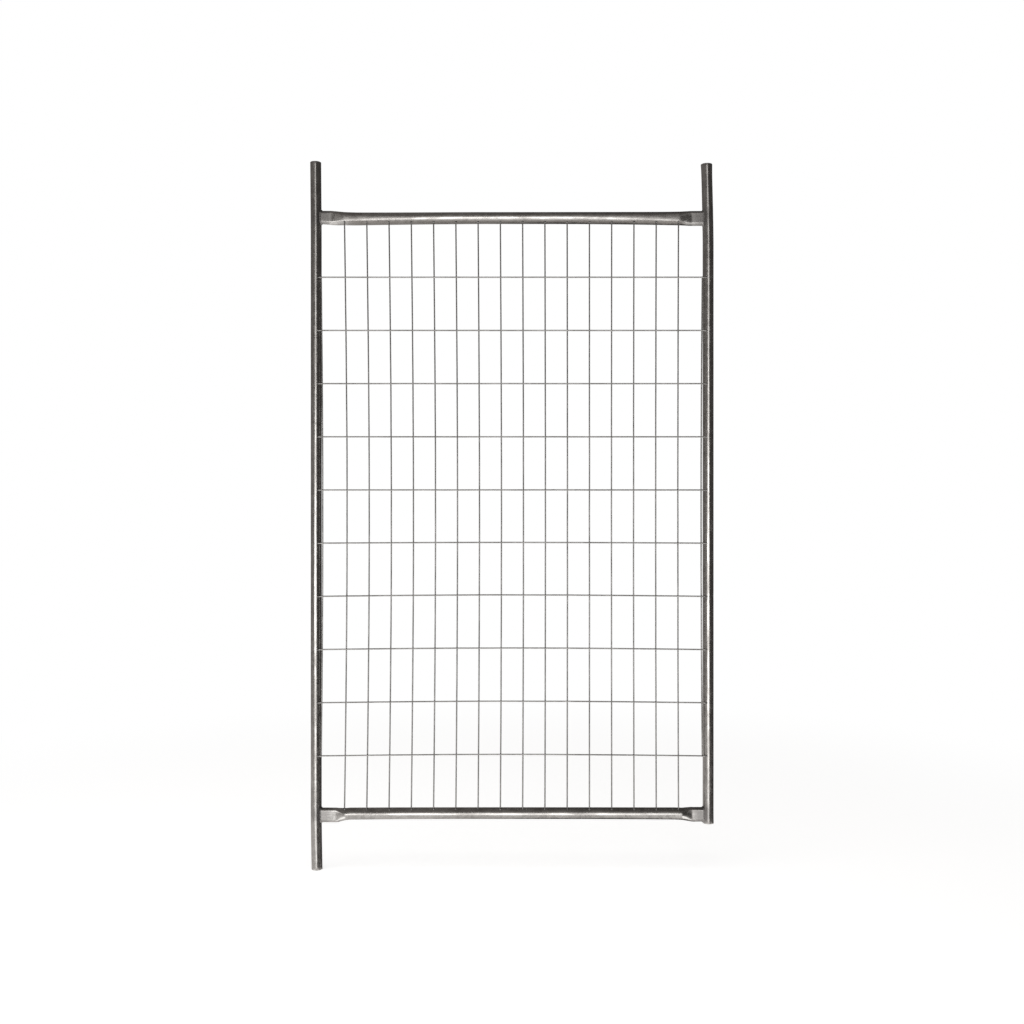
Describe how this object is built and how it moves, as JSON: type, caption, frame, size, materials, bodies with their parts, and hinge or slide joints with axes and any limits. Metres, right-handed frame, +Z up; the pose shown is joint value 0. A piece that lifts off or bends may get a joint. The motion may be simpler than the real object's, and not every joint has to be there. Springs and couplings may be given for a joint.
{
  "type": "garden gate leaf",
  "caption": "Tall pedestrian gate leaf: two upright tube posts, two rails with pressed ends, and a welded wire mesh that lets the eye through but not a person.",
  "frame": {"origin": "centre of the hinge post's lower end, on the axis that the gate swings about", "axes": "+X from the hinge post to the latch post, +Y from the front, where the cross wires are, to the back, +Z up along the hinge post"},
  "size_m": [1.197, 0.0338, 2.1],
  "materials": {
    "post_tube": "galvanised, dulled by weather, with faint drawn lines along the tube",
    "rail_tube": "galvanised, dulled by weather, with marks of the press on its flat ends",
    "mesh_wire": "galvanised drawn wire, satin",
    "frame_weld": "rippled weld bead under zinc paint",
    "tack_weld": "small tack weld under zinc paint"
  },
  "bodies": {
    "root": {"hinge_post": "post_tube", "latch_post": "post_tube", "top_rail": "rail_tube", "bottom_rail": "rail_tube", "top_hinge_weld": "frame_weld", "top_latch_weld": "frame_weld", "bottom_hinge_weld": "frame_weld", "bottom_latch_weld": "frame_weld", "edge_wire_hinge": "mesh_wire", "edge_wire_latch": "mesh_wire", "line_wire_01": "mesh_wire", "line_wire_02": "mesh_wire", "line_wire_03": "mesh_wire", "line_wire_04": "mesh_wire", "line_wire_05": "mesh_wire", "line_wire_06": "mesh_wire", "line_wire_07": "mesh_wire", "line_wire_08": "mesh_wire", "line_wire_09": "mesh_wire", "line_wire_10": "mesh_wire", "line_wire_11": "mesh_wire", "line_wire_12": "mesh_wire", "line_wire_13": "mesh_wire", "line_wire_14": "mesh_wire", "line_wire_15": "mesh_wire", "line_wire_16": "mesh_wire", "cross_wire_01": "mesh_wire", "cross_wire_02": "mesh_wire", "cross_wire_03": "mesh_wire", "cross_wire_04": "mesh_wire", "cross_wire_05": "mesh_wire", "cross_wire_06": "mesh_wire", "cross_wire_07": "mesh_wire", "cross_wire_08": "mesh_wire", "cross_wire_09": "mesh_wire", "cross_wire_10": "mesh_wire", "top_wire_tacks": "tack_weld", "bottom_wire_tacks": "tack_weld", "hinge_wire_tacks": "tack_weld", "latch_wire_tacks": "tack_weld"}
  },
  "joints": []
}
